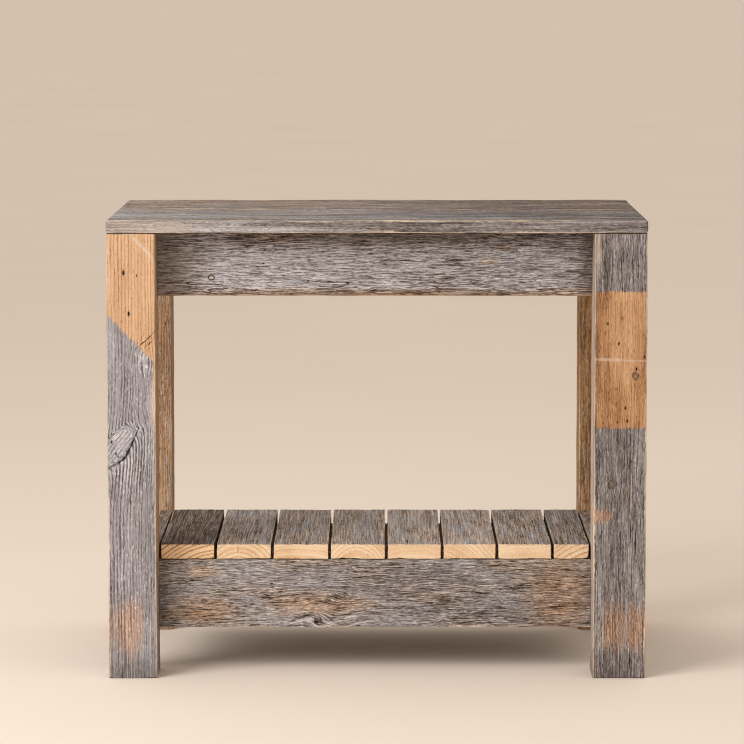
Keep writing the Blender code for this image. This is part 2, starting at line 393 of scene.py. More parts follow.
def box_shell(counts):
    """Four-sided faces over the outside of a box of grid points, each turned outwards."""
    index = np.arange(np.prod(counts)).reshape(counts)
    sides = []
    for axis, end in itertools.product((0, 1, 2), (0, -1)):
        plane = index.take(end, axis)
        corners = (plane[:-1, :-1], plane[1:, :-1], plane[1:, 1:], plane[:-1, 1:])
        side = np.stack(corners, axis=-1).reshape(-1, 4)
        turned = (end == 0) != (axis == 1)
        sides.append(side[:, ::-1] if turned else side)
    faces = np.concatenate(sides)
    used = np.unique(faces)
    return used, np.searchsorted(used, faces)


def part_round(knot, points, flow):
    """Pushes the fibres aside round a knot."""
    near = knot.around(points, 6.0)
    local = knot.local(points[near])
    across = np.hypot(local[:, 1], local[:, 2])
    fade = np.exp(-((local[:, 0] / PUSH_LENGTH) ** 2)) * np.exp(-((across / PUSH_WIDTH) ** 2))
    push = KNOT_PUSH * np.tanh(PUSH_STEEPNESS * across) / np.maximum(across, 1e-6) * fade
    sideways = local[:, 1] * knot.size[1] * push
    flow[near, 0] += sideways * math.sin(knot.turn)
    flow[near, 1] -= sideways * math.cos(knot.turn)
    flow[near, 2] -= local[:, 2] * knot.size[2] * push * 0.5


def follow_branch(spike, points, flow):
    """Runs the fibres inside a branch along its own length."""
    near = spike.around(points, 1.5)
    local = spike.local(points[near])
    inside = 1 - smooth_step(*BRANCH_RIM, np.linalg.norm(local, axis=1))
    for channel in (0, 1):
        own = spike.centre[channel] + local[:, channel] * spike.size[channel]
        flow[near, channel] += (own - flow[near, channel]) * inside


def flow_of(timber, points):
    """Board coordinates as the fibres see them: they wander, and part round each knot."""
    flow = points.copy()
    for knot in timber.knots + timber.swirls:
        part_round(knot, points, flow)
    for spike in timber.spikes:
        follow_branch(spike, points, flow)
    slow, quick = SLOW_WANDER, QUICK_WANDER
    for channel in (1, 2):
        seed = timber.seed * 7 + channel
        flow[:, channel] += slow[0] * grain_noise(points, *slow[1:], seed)
        flow[:, channel] += quick[0] * timber.wander * grain_noise(points, *quick[1:], seed + 3)
    return flow


def ring_of(timber, flow):
    """Distance from the pith, which tells the rings apart."""
    distance = np.hypot(flow[:, 1] - timber.pith[0], flow[:, 2] - timber.pith[1])
    distance += timber.slope * flow[:, 0] + RING_WAVE * grain_noise(flow, 0.25, 0.05, timber.seed + 11)
    years = np.stack((distance, distance * 0, distance * 0), axis=1)
    return distance + YEAR_SPREAD * grain_noise(years, 0.009, 1.0, timber.seed + 12)


def dug(marks, points, depth, sharpness=1.0):
    """How far a set of marks goes below the surface."""
    deepest = np.zeros(len(points))
    for mark in marks:
        near = mark.around(points, 1.1)
        inside = np.clip(1 - mark.reach(points[near]), 0, 1) ** sharpness
        deepest[near] = np.maximum(deepest[near], depth * inside)
    return deepest


def relief_of(timber, board, flow, ring):
    """How far the weather has eaten into each point of the surface."""
    phase = ring / timber.spacing % 1.0
    rings = 1 - smooth_step(0.35, 0.8, phase) * (1 - smooth_step(0.9, 1.0, phase))
    seed = timber.seed
    relief = BASE_RECESS + RING_RELIEF * rings
    relief += STREAK_RELIEF * grain_noise(flow, 0.06, 0.0045, seed + 21)
    relief += FIBRE_RELIEF * grain_noise(flow, 0.016, 0.0022, seed + 22)
    relief += WAVE_RELIEF * smooth_step(-0.4, 1.0, grain_noise(board, 0.12, 0.03, seed + 23))
    relief += dug(timber.holes, board, HOLE_DEPTH, 0.5)
    relief += dug(timber.checks, board, CHECK_DEPTH, 0.7)
    relief -= dug(timber.knots, board, KNOT_SWELL)
    return np.maximum(relief, 0.0)


def radius_of(timber, board):
    """How round each arris is at each point."""
    radius = ARRIS_RADIUS + ARRIS_RADIUS_SPREAD * grain_noise(board, 0.03, 0.02, timber.seed + 31)
    radius += CHIP_RADIUS * smooth_step(0.45, 0.8, grain_noise(board, 0.022, 0.02, timber.seed + 32))
    radius += timber.soft_ends * np.exp(-timber.from_end(board) / SOFT_END_LENGTH)
    if timber.between:
        radius *= smooth_step(0.0, JOINT_WEAR, timber.from_end(board))
    return np.maximum(radius, LEAST_RADIUS)[:, None]


def wear_of(timber, board):
    """1 on a long arris, falling to 0 a few millimetres in."""
    edges = np.sort(np.minimum(board[:, 1:], timber.size[1:] - board[:, 1:]), axis=1)
    return np.exp(-edges[:, 1] / WEAR_WIDTH)


def quad_mesh(name, points, faces):
    """A smooth-shaded mesh of four-sided faces."""
    mesh = bpy.data.meshes.new(name)
    mesh.vertices.add(len(points))
    mesh.vertices.foreach_set("co", points.astype(np.float32).ravel())
    mesh.loops.add(faces.size)
    mesh.loops.foreach_set("vertex_index", faces.astype(np.int32).ravel())
    mesh.polygons.add(len(faces))
    mesh.polygons.foreach_set("loop_start", np.arange(0, faces.size, 4, dtype=np.int32))
    mesh.update(calc_edges=True)
    mesh.shade_smooth()
    return mesh


def store(mesh, name, values):
    """Keeps a number or a vector for each vertex, for the material to read."""
    kind, channel = ("FLOAT_VECTOR", "vector") if values.ndim == 2 else ("FLOAT", "value")
    attribute = mesh.attributes.new(name, kind, "POINT")
    attribute.data.foreach_set(channel, values.astype(np.float32).ravel())


def shell_mesh(timber, lines):
    """The worn, closed surface of a timber, with what its material reads."""
    counts = [len(line) for line in lines]
    used, faces = box_shell(counts)
    cells = np.unravel_index(used, counts)
    flat = np.stack([line[cell] for line, cell in zip(lines, cells)], axis=1)

    board = flat[:, list(timber.axes)]
    radius = radius_of(timber, board)
    inner = np.clip(flat, radius, timber.extent - radius)
    outward = flat - inner
    outward /= np.linalg.norm(outward, axis=1)[:, None]
    rounded = inner + radius * outward

    flow = flow_of(timber, board)
    ring = ring_of(timber, flow)
    facing = outward[:, list(timber.axes)]
    relief = relief_of(timber, board, flow, ring)
    relief *= 1 - END_SPARED * smooth_step(0.5, 0.9, np.abs(facing[:, 0]))

    mesh = quad_mesh(timber.node, timber.low + rounded - outward * relief[:, None], faces)
    store(mesh, "board", board)
    store(mesh, "flow", flow)
    store(mesh, "facing", facing)
    store(mesh, "ring", ring)
    store(mesh, "wear", wear_of(timber, board))
    store(mesh, "hollow", (relief - BASE_RECESS) / RING_RELIEF)
    return mesh


# -------- node materials


class Net:
    """A material's node tree, with a short call for each kind of node."""

    def __init__(self, name):
        self.material = bpy.data.materials.new(name)
        self.material.use_nodes = True
        self.tree = self.material.node_tree
        self.shader = self.tree.nodes["Principled BSDF"]

    def put(self, socket, value):
        if isinstance(value, bpy.types.NodeSocket):
            self.tree.links.new(value, socket)
        elif isinstance(value, tuple) and len(value) == 3 and socket.type == "RGBA":
            socket.default_value = (*value, 1.0)
        else:
            socket.default_value = value

    def node(self, kind, inputs, output=0, **settings):
        made = self.tree.nodes.new("ShaderNode" + kind)
        for key, value in settings.items():
            setattr(made, key, value)
        for key, value in inputs.items():
            self.put(made.inputs[key], value)
        return made.outputs[output]

    def attribute(self, name, output="Vector"):
        return self.node("Attribute", {}, output, attribute_name=name)

    def channel(self, vector, number):
        return self.node("SeparateXYZ", {0: vector}, number)

    def math(self, operation, a, b=0.0, c=0.0):
        return self.node("Math", {0: a, 1: b, 2: c}, operation=operation)

    def vector(self, operation, a, b=(0.0, 0.0, 0.0), output=0):
        return self.node("VectorMath", {0: a, 1: b}, output, operation=operation)

    def product(self, a, b):
        return self.math("MULTIPLY", a, b)

    def weighed(self, base, *terms, **weights):
        """A base with values added, each as (value, weight) or as the weight of the net's own pattern."""
        own = [(getattr(self, name), weight) for name, weight in weights.items()]
        for value, weight in [*terms, *own]:
            base = self.math("MULTIPLY_ADD", value, weight, base)
        return base

    def moved(self, coords, factors, offsets):
        return self.node("VectorMath", {0: coords, 1: factors, 2: offsets}, operation="MULTIPLY_ADD")

    def noise(self, coords, sizes, seed, detail, roughness):
        """Noise about 0, from -0.5 to 0.5, with features of the given sizes in metres."""
        factors = tuple(1 / size for size in sizes)
        place = self.moved(coords, factors, (seed * 7.3, seed * 3.1, seed * 5.7))
        inputs = {"Vector": place, "Scale": 1.0, "Detail": detail, "Roughness": roughness}
        value = self.node("TexNoise", inputs, noise_dimensions="3D")
        return self.math("SUBTRACT", value, 0.5)

    def bubbles(self, coords, cell, seed):
        """Distance in metres from the nearest of many scattered points, about a cell apart."""
        place = self.moved(coords, (1 / cell,) * 3, (seed * 1.7, seed * 4.3, seed * 2.9))
        return self.product(self.node("TexVoronoi", {"Vector": place, "Scale": 1.0}), cell)

    def step(self, value, low, high, start=0.0, end=1.0):
        """Goes smoothly from start to end as the value goes from low to high, and no further."""
        inputs = {"Value": value, "From Min": low, "From Max": high, "To Min": start, "To Max": end}
        return self.node("MapRange", inputs, interpolation_type="SMOOTHSTEP")

    def hump(self, value, low, rise, fall, high):
        """1 between rise and fall, going down to 0 at low and at high."""
        return self.product(self.step(value, low, rise), self.step(value, high, fall))

    def mix(self, factor, a, b, blend="MIX"):
        inputs = {0: factor, 6: a, 7: b}
        return self.node("Mix", inputs, 2, data_type="RGBA", blend_type=blend, clamp_factor=True)

    def tinted(self, colour, tint):
        return self.mix(1.0, colour, tint, "MULTIPLY")

    def ramp(self, value, colours):
        """Colours spread along 0 to 1, as (place, colour)."""
        made = self.tree.nodes.new("ShaderNodeValToRGB")
        elements = made.color_ramp.elements
        while len(elements) < len(colours):
            elements.new(1.0)
        for element, (place, colour) in zip(elements, colours):
            element.position = place
            element.color = (*colour, 1.0)
        self.put(made.inputs[0], value)
        return made.outputs[0]

    def nearest(self, coords, marks):
        """The smallest reach of any of the marks: 1 on the surface of the one that is nearest."""
        result = FAR
        for mark in marks:
            inputs = {0: coords, 1: mark.centre, 2: (0.0, 0.0, mark.turn), 3: mark.size}
            local = self.node("Mapping", inputs, vector_type="TEXTURE")
            result = self.math("MINIMUM", result, self.vector("LENGTH", local, output="Value"))
        return result

    def side_of(self, coords, regions):
        """Signed distance into a union of regions, each the positive side of all its planes."""
        best = -FAR
        for planes in regions:
            inside = FAR
            for plane in planes:
                offset = self.vector("SUBTRACT", coords, plane.point)
                distance = self.vector("DOT_PRODUCT", offset, plane.normal, "Value")
                inside = self.math("MINIMUM", inside, distance)
            best = self.math("MAXIMUM", best, inside)
        return best

    def surface(self, colour, roughness, specular):
        """Sets the shader, and gives back the material."""
        self.put(self.shader.inputs["Base Color"], colour)
        self.put(self.shader.inputs["Roughness"], roughness)
        self.shader.inputs["Specular IOR Level"].default_value = specular
        return self.material

    def bump(self, height, strength, distance):
        inputs = {"Strength": strength, "Distance": distance, "Height": height}
        self.put(self.shader.inputs["Normal"], self.node("Bump", inputs))


GREY_RAMP = [
    (0.0, (0.02, 0.015, 0.012)),
    (0.25, (0.085, 0.066, 0.055)),
    (0.5, (0.225, 0.19, 0.172)),
    (0.75, (0.4, 0.355, 0.33)),
    (1.0, (0.64, 0.58, 0.53)),
]
HONEY_RAMP = [
    (0.0, (0.11, 0.042, 0.015)),
    (0.25, (0.3, 0.148, 0.066)),
    (0.5, (0.51, 0.292, 0.151)),
    (0.75, (0.62, 0.4, 0.236)),
    (1.0, (0.78, 0.57, 0.38)),
]
FRESH_RAMP = [
    (0.0, (0.26, 0.11, 0.04)),
    (0.3, (0.5, 0.29, 0.145)),
    (0.6, (0.715, 0.495, 0.302)),
    (1.0, (0.86, 0.69, 0.5)),
]
BLUE_TINT = (0.92, 0.98, 1.07)
BROWN_TINT = (1.08, 0.97, 0.87)
TAN_COLOUR = (0.54, 0.4, 0.28)
CREAM_COLOUR = (0.74, 0.62, 0.49)
PALE_COLOUR = (0.72, 0.59, 0.48)
PALE_SHADE = (0.5, 0.385, 0.3)
FISSURE_COLOUR = (0.2, 0.09, 0.035)
KNOT_DARK = (0.085, 0.055, 0.038)
KNOT_LIGHT = (0.25, 0.175, 0.122)
HOLE_COLOUR = (0.012, 0.008, 0.006)

# Places along the ramps where each kind of surface lies before any pattern
GREY_LEVEL = 0.55
GREY_PER_LIGHT = 0.25
HONEY_LEVEL = 0.6
FRESH_END_LEVEL = 0.76
OLD_END_LEVEL = 0.42
PINE_LEVEL = 0.55


class Wood(Net):
    """Weathered softwood: grey where it has stood in the open, honey-coloured where it was covered."""

    def __init__(self, timber):
        super().__init__(timber.node + "_wood")
        self.timber = timber
        self.board = self.attribute("board")
        self.flow = self.attribute("flow")
        self.ring = self.attribute("ring", "Fac")
        self.wear = self.attribute("wear", "Fac")
        self.hollow = self.attribute("hollow", "Fac")
        self.add_patterns()
        self.add_years()

    def pattern(self, coords, along, across, number, detail, roughness):
        """Noise of this timber's own, with one size along the grain and another across it."""
        return self.noise(coords, (along, across, across), self.timber.seed + number, detail, roughness)

    def add_patterns(self):
        """Streaks, strands, fibres and hairs that follow the grain, and blotches that don't."""
        self.broad = self.pattern(self.flow, 0.26, 0.011, 1, 2.0, 0.5)
        self.lines = self.pattern(self.flow, *self.timber.strand, 8, 1.0, 0.5)
        self.fibre = self.pattern(self.flow, 0.011, 0.0014, 2, 2.0, 0.7)
        self.hair = self.pattern(self.flow, 0.006, 0.0007, 3, 2.0, 0.6)
        self.blotch = self.pattern(self.board, 0.11, 0.028, 4, 3.0, 0.6)
        self.patch = self.pattern(self.board, 0.3, 0.08, 5, 2.0, 0.5)
        self.dash = self.pattern(self.flow, 0.008, 0.0019, 6, 1.0, 0.5)
        self.beads = self.step(self.dash, 0.09, 0.2)
        self.pits = self.step(self.dash, -0.1, -0.2)
        thread = self.pattern(self.flow, 0.09, 0.0028, 10, 1.0, 0.5)
        broken = self.step(self.weighed(self.fibre, blotch=1.0), -0.08, 0.08)
        self.vein = self.product(self.step(self.math("ABSOLUTE", thread), 0.05, 0.008), broken)

    def add_years(self):
        """How good each year was, and the dark late wood that ends it."""
        years = self.node("CombineXYZ", {"X": self.ring, "Y": self.channel(self.flow, 0)})
        self.year = self.noise(years, (0.008, 0.4, 1.0), self.timber.seed + 9, 2.0, 0.6)
        late = self.hump(self.year_phase(1.0, 0.35), 0.5, 0.9, 0.95, 1.0)
        self.late = self.product(late, self.step(self.year, -0.16, 0.14, 0.3, 1.0))

    def year_phase(self, rate, raggedness):
        """0 at the start of each year's ring and 1 at its end."""
        rings = self.product(self.ring, rate / self.timber.spacing)
        return self.math("FRACT", self.weighed(rings, fibre=raggedness))

    def near(self, marks, *terms, **weights):
        """Reach of the nearest mark, made ragged by some patterns."""
        return self.weighed(self.nearest(self.board, marks), *terms, **weights)

    def laid(self, colour, near, outer, inner, strength, over):
        """Lays a colour over a mark, from the outer reach up to its full strength at the inner one."""
        return self.mix(self.step(near, outer, inner, 0.0, strength), colour, over)

    def with_figure(self, lightness):
        """Bold rings round a knot, between bleached ones. They are fainter on the branch itself."""
        timber = self.timber
        wave = self.hump(self.year_phase(1.05, 0.7), 0.2, 0.65, 0.75, 1.0)
        if timber.spikes:
            calm = self.step(self.near(timber.spikes, fibre=0.5), 0.8, 1.1, 0.4, 1.0)
            wave = self.product(wave, calm)
        wave = self.weighed(timber.bleach, (wave, -1.1), beads=0.6)
        inside = self.step(self.near(timber.figures, lines=1.0), 1.5, 0.5)
        return self.weighed(lightness, (self.product(inside, wave), timber.figure))

    def grey(self):
        """Surface that has stood in the open."""
        timber = self.timber
        grain, flecks = timber.contrast, timber.flecks
        lightness = self.weighed(
            GREY_LEVEL + GREY_PER_LIGHT * (timber.light - 1.0),
            broad=timber.bands, lines=1.0 * grain, fibre=1.05 * grain * flecks, hair=0.7 * grain * flecks,
            patch=0.2, late=-0.22 * timber.rings, beads=0.24 * flecks, pits=-0.26 * flecks,
            vein=-0.45 * grain, hollow=-0.03,
        )
        if timber.figures:
            lightness = self.with_figure(lightness)
        # Painted light falloff: lighter at the start of the board, darker at its end
        if timber.fade:
            along = self.channel(self.board, 0)
            fall = self.step(along, 0.0, timber.size[0], timber.fade, -timber.fade)
            lightness = self.math("ADD", lightness, fall)
        brown = self.step(self.weighed(timber.brown - 0.5, blotch=1.0), -0.16, 0.16)
        return self.tinted(self.ramp(lightness, GREY_RAMP), self.mix(brown, BLUE_TINT, BROWN_TINT))

    def honey(self, grey):
        """Surface that was covered, with grey over it where the cover was poor."""
        timber = self.timber
        warmth = self.weighed(
            HONEY_LEVEL + timber.warmth,
            broad=0.25, lines=0.45, fibre=0.6, hair=0.25, blotch=timber.mottled, patch=timber.mottled,
            year=0.3 * timber.lined, late=-0.3 * timber.lined, pits=-0.22, vein=-0.18, hollow=-0.015,
        )
        honey = self.ramp(warmth, HONEY_RAMP)
        if timber.greyed:
            poor = self.weighed(self.blotch, lines=1.0)
            honey = self.mix(self.step(poor, -0.2, 0.2, 0.0, 2 * timber.greyed), honey, grey)
        return honey

    def weathered(self):
        """The sawn faces: grey, but honey inside the covered regions."""
        timber = self.timber
        grey = self.grey()
        if not timber.honey:
            return grey
        edge = self.side_of(self.board, timber.honey)
        edge = self.weighed(edge, fibre=0.01, lines=0.006 + 0.5 * timber.soft_edge)
        return self.mix(self.step(edge, -timber.soft_edge, timber.soft_edge), grey, self.honey(grey))

    def with_arrises(self, colour):
        """Arrises rubbed back to paler wood, which also serves as a painted highlight along them."""
        timber = self.timber
        rubbed = self.weighed(timber.rub, wear=1.0, fibre=0.9, blotch=1.0, lines=0.4)
        bare = self.mix(self.step(self.blotch, -0.1, 0.2), TAN_COLOUR, CREAM_COLOUR)
        return self.mix(self.step(rubbed, 0.56, 0.9, 0.0, timber.arris_wear_and_highlight), colour, bare)

    def end_mask(self):
        """1 on the two ends. The weathered top of a fresh end hangs over it in a ragged fringe."""
        timber = self.timber
        square = self.math("ABSOLUTE", self.channel(self.attribute("facing"), 0))
        mask = self.step(self.weighed(square, dash=0.8, blotch=0.6), 0.52, 0.66)
        if timber.fresh_ends:
            below = self.math("SUBTRACT", timber.size[2], self.channel(self.board, 2))
            teeth = self.noise(self.board, (0.5, 0.0035, 0.02), timber.seed + 13, 3.0, 0.7)
            mask = self.product(mask, self.step(self.weighed(below, (teeth, 0.007)), 0.0006, 0.0016))
        return mask

    def with_ends(self, colour):
        """End grain, freshly sawn with fine fissures, or weathered."""
        timber = self.timber
        level, ramp = (FRESH_END_LEVEL, FRESH_RAMP) if timber.fresh_ends else (OLD_END_LEVEL, GREY_RAMP)
        pores = self.pattern(self.board, 0.0016, 0.0016, 7, 2.0, 0.6)
        cut = self.weighed(level, (pores, 0.95), late=-0.76 * timber.rings, year=0.9, patch=0.6)
        cut = self.ramp(cut, ramp)
        if timber.fresh_ends:
            split = self.noise(self.board, (0.5, 0.014, 0.005), timber.seed + 15, 2.0, 0.5)
            split = self.step(self.math("ABSOLUTE", split), 0.012, 0.004)
            split = self.product(split, self.step(pores, 0.02, 0.1, 0.0, 0.7))
            cut = self.mix(split, cut, FISSURE_COLOUR)
        return self.mix(self.end_mask(), colour, cut)

    def with_stains_pales_and_shade(self, colour):
        """Stains of rust and resin, then pale places, rubbed or chalked, and painted light on one lit face,
        then painted shade and other darkening.
        """
        timber = self.timber
        if timber.stains:
            near = self.near(timber.stains, lines=1.6, fibre=1.4, blotch=1.2)
            colour = self.laid(colour, near, 1.35, 0.45, 0.85, self.tinted(colour, timber.stain_tint))
        # Pale marks: rubbed or chalked places, and painted light on the lit inner face of the right front
        # post
        if timber.pales:
            near = self.near(timber.pales, fibre=1.6, hair=1.0)
            chalk = self.step(self.weighed(self.lines, fibre=1.0), -0.25, 0.2)
            chalk = self.mix(chalk, PALE_SHADE, PALE_COLOUR)
            colour = self.laid(colour, near, 1.2, 0.4, timber.paled, chalk)
        # Painted shade, and other darkening: the wood is darkened inside these marks
        if timber.shade_and_grime:
            near = self.near(timber.shade_and_grime, lines=1.2, fibre=1.0)
            colour = self.laid(colour, near, 1.2, 0.4, 0.85, self.tinted(colour, timber.shade_and_grime_tint))
        return colour

    def with_knots(self, colour):
        """Dark rings inside a broken black rim."""
        gnarl = self.noise(self.board, (0.005, 0.004, 0.004), self.timber.seed + 14, 2.0, 0.6)
        near = self.near(self.timber.knots, (gnarl, 1.0), hair=0.5)
        rings = self.step(self.math("SINE", self.product(near, 7.0)), -1.0, 1.0)
        colour = self.laid(colour, near, 1.1, 0.7, 0.75, self.mix(rings, KNOT_DARK, KNOT_LIGHT))
        rim = self.hump(near, 0.75, 0.98, 1.02, 1.3)
        broken = self.step(gnarl, -0.15, 0.15, 0.85, 0.2)
        return self.mix(self.product(rim, broken), colour, HOLE_COLOUR)

    def with_plugs(self, colour):
        """A tan plug in a dark ring."""
        near = self.near(self.timber.plugs, hair=0.6)
        colour = self.laid(colour, near, 0.9, 0.6, 0.5, TAN_COLOUR)
        rim = self.hump(near, 0.6, 0.85, 1.0, 1.3)
        return self.mix(self.product(rim, 0.9), colour, HOLE_COLOUR)

    def with_holes(self, colour):
        """Checks, then a few wormholes all over, then nail holes in faint dark halos. All three are painted
        near black: painted shade inside them.
        """
        timber = self.timber
        if timber.checks:
            near = self.near(timber.checks, fibre=0.8, hair=0.5)
            # Painted shade: checks painted near black
            colour = self.laid(colour, near, 1.1, 0.6, 0.92, HOLE_COLOUR)
        # Painted shade: wormholes as near-black dots, with no hole in the mesh
        scattered = self.weighed(self.bubbles(self.board, STRAY_CELL, timber.seed), hair=0.001)
        colour = self.laid(colour, scattered, STRAY_HOLE, 0.6 * STRAY_HOLE, 0.95, HOLE_COLOUR)
        if timber.holes:
            near = self.near(timber.holes, hair=0.6)
            colour = self.laid(colour, near, 2.0, 1.0, 0.35, KNOT_DARK)
            # Painted shade: nail holes painted near black inside
            colour = self.laid(colour, near, 1.05, 0.75, 0.95, HOLE_COLOUR)
        return colour


def wood_material(timber):
    """The whole look of one timber, from its sawn faces out to the marks on them."""
    wood = Wood(timber)
    colour = wood.with_stains_pales_and_shade(wood.with_ends(wood.with_arrises(wood.weathered())))
    if timber.knots:
        colour = wood.with_knots(colour)
    if timber.plugs:
        colour = wood.with_plugs(colour)
    colour = wood.with_holes(colour)
    if timber.tint:
        colour = wood.tinted(colour, timber.tint)
    wood.bump(wood.weighed(0.0, lines=0.6, fibre=0.9, hair=0.4, late=0.25), 0.55, 0.0012)
    roughness = wood.step(wood.weighed(wood.fibre, blotch=1.0), -0.4, 0.4, 0.74, 0.94)
    return wood.surface(colour, roughness, 0.25)


def coat(timber):
    """Lays a shell with its own material over one timber of the frame."""
    timber.place()
    lines = grid_of(timber)
    add_strays(timber)
    mesh = shell_mesh(timber, lines)
    mesh.materials.append(wood_material(timber))
    piece = add_object("wood_" + timber.node, mesh)
    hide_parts(timber.node)
    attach(piece, "root")


# -------- the timbers


def front_left_post():
    """Silver grey, with honey pine above a slanting line and down its inner side, and a knotty branch."""
    crack_from_the_side = [(0.596, 0.083), (0.589, 0.0765), (0.579, 0.067), (0.5715, 0.057), (0.564, 0.049)]
    crack_beside_it = [(0.59, 0.083), (0.5785, 0.0777), (0.5705, 0.069), (0.5665, 0.063)]
    crack_round_the_branch = [
        (0.433, 0.055), (0.4125, 0.046), (0.3954, 0.039), (0.3817, 0.0322), (0.3749, 0.0255),
        (0.3697, 0.017), (0.3612, 0.0017),
    ]
    return Timber(
        "leg_front_left", POST_AXES, "post_front_left", 101,
        pith=(-0.16, 0.06), slope=0.004, spacing=0.0052, strand=(0.085, 0.0017),
        light=1.42, brown=0.24, contrast=0.62, bands=0.25, flecks=0.6, figure=0.46, bleach=0.57,
        warmth=0.09, arris_wear_and_highlight=0.8, rub=0.2, tint=(1.0, 1.02, 1.07),
        honey=[
            [Plane((0.6226, 0.0017, 0.0), (0.697, 0.718, 0.0))],
            [Plane((0.3, 0.0815, 0.0), (0.012, 1.0, 0.0))],
        ],
        swirls=[
            spot(0.392, 0.023, 0.042, 0.018, 0.03, 0.62), spot(0.5406, 0.0665, 0.016, 0.009, 0.02),
        ],
        figures=[
            spot(0.385, 0.042, 0.07, 0.042, 0.03),
            Mark((0.49, 0.045, 0.03), (0.09, 0.05, 0.03)),
            Mark((0.19, 0.04, 0.03), (0.18, 0.06, 0.03)),
            spot(0.542, 0.064, 0.026, 0.016, 0.02),
        ],
        spikes=[spot(0.398, 0.0175, 0.04, 0.018, 0.03, 0.64)],
        holes=[
            hole(0.6935, 0.0297, 0.0024), hole(0.6243, 0.0382, 0.0022), hole(0.689, 0.0517, 0.001),
            hole(0.406, 0.008, 0.0015), hole(0.386, 0.015, 0.0014), hole(0.381, 0.0185, 0.0012),
        ],
        checks=[
            *crack(crack_from_the_side, 0.0026),
            *crack(crack_beside_it, 0.0016),
            *crack(crack_round_the_branch, 0.0062),
            line_mark((0.293, 0.0205), (0.182, 0.0205), 0.0014, 0.01),
            line_mark((0.202, 0.0425), (0.143, 0.0425), 0.0013, 0.01),
        ],
        stains=[spot(0.0861, 0.0305, 0.044, 0.032, 0.03)],
        stain_tint=(1.6, 1.14, 0.82),
        # Darker at the foot, and painted shade over the inner side face, which faces away from the key
        shade_and_grime=[
            Mark((0.0, 0.04, 0.04), (0.045, 0.08, 0.08)),
            Mark((0.38, 0.083, 0.05), (0.6, 0.0045, 0.06)),
        ],
        pales=[
            line_mark((0.766, 0.0345), (0.711, 0.0865), 0.0085, 0.01),
            spot(0.462, 0.083, 0.048, 0.012, 0.01),
        ],
    )


def front_right_post():
    """Blue-grey, with an orange band above the middle."""
    band = [
        Plane((0.4296, 0.0, 0.0), (1.0, 0.0, 0.0)),
        Plane((0.6618, 0.0, 0.0), (-1.0, 0.0, 0.0)),
        Plane((0.0, 0.0015, 0.0), (0.0, 1.0, 0.0)),
    ]
    return Timber(
        "leg_front_right", POST_AXES, "post_front_right", 102,
        pith=(0.23, 0.05), slope=0.004, spacing=0.0048, strand=(0.06, 0.0016),
        light=1.02, brown=0.3, contrast=0.82, bands=0.3, flecks=0.85,
        warmth=-0.16, lined=0.25, mottled=0.9, arris_wear_and_highlight=0.9, rub=0.2,
        honey=[band],
        knots=[
            spot(0.5184, 0.0704, 0.006, 0.005, 0.02), spot(0.3339, 0.0317, 0.0077, 0.0059, 0.025),
        ],
        holes=[
            hole(0.6075, 0.0232), hole(0.5733, 0.0418), hole(0.5509, 0.0856), hole(0.5306, 0.0721),
            hole(0.464, 0.0536), hole(0.4418, 0.057), hole(0.44, 0.0401, 0.0012),
        ],
        checks=[
            line_mark((0.2706, 0.0638), (0.2364, 0.0638), 0.0016, 0.01),
            line_mark((0.262, 0.072), (0.2023, 0.072), 0.002, 0.012),
            line_mark((0.1681, 0.0469), (0.1425, 0.0469), 0.0016, 0.01),
            line_mark((0.0433, 0.0637), (0.0178, 0.0637), 0.0022, 0.012),
        ],
        stains=[
            spot(0.0878, 0.033, 0.044, 0.02, 0.03), spot(0.085, 0.074, 0.042, 0.019, 0.03),
            spot(0.2792, 0.012, 0.013, 0.022, 0.02),
        ],
        stain_tint=(1.62, 1.1, 0.74),
        # Darker at the foot, and near the top of the front face towards its inner side
        shade_and_grime=[
            Mark((0.0, 0.045, 0.04), (0.05, 0.08, 0.08)),
            spot(0.7, 0.02, 0.08, 0.012, 0.02),
        ],
        pales=[
            line_mark((0.5475, -0.01), (0.5455, 0.06), 0.0062, 0.01),
            line_mark((0.545, 0.04), (0.544, 0.095), 0.0034, 0.01),
            # This mark covers the inner side face, which faces the key: painted light on the lit side
            Mark((0.38, 0.0, 0.05), (0.6, 0.0028, 0.06)),
            spot(0.735, 0.008, 0.036, 0.005, 0.012),
        ],
    )


def rear_posts():
    """Golden brown all over, with some grey. The right one has painted shade under the top."""
    tints = ((1.08, 1.14, 1.13), (1.32, 1.33, 1.12))
    # Painted shade under the top, on the right post only
    shade_and_grime = ([], [spot(0.66, 0.045, 0.055, 0.08, 0.03)])
    return [
        Timber(
            node, POST_AXES, "post_rear", 103 + number,
            pith=(-0.15, 0.03), slope=0.006, strand=(0.07, 0.0018), light=0.9, brown=0.75,
            honey=[[Plane((-0.08, 0.0, 0.0), (1.0, 0.12, -0.1))]], soft_edge=0.022,
            warmth=-0.2, lined=0.5, mottled=0.8, greyed=0.4, arris_wear_and_highlight=0.6, tint=tints[number],
            knots=[Mark((0.42, 0.055, 0.089), (0.012, 0.009, 0.03))], shade_and_grime=shade_and_grime[number],
        )
        for number, node in enumerate(REAR_POSTS)
    ]


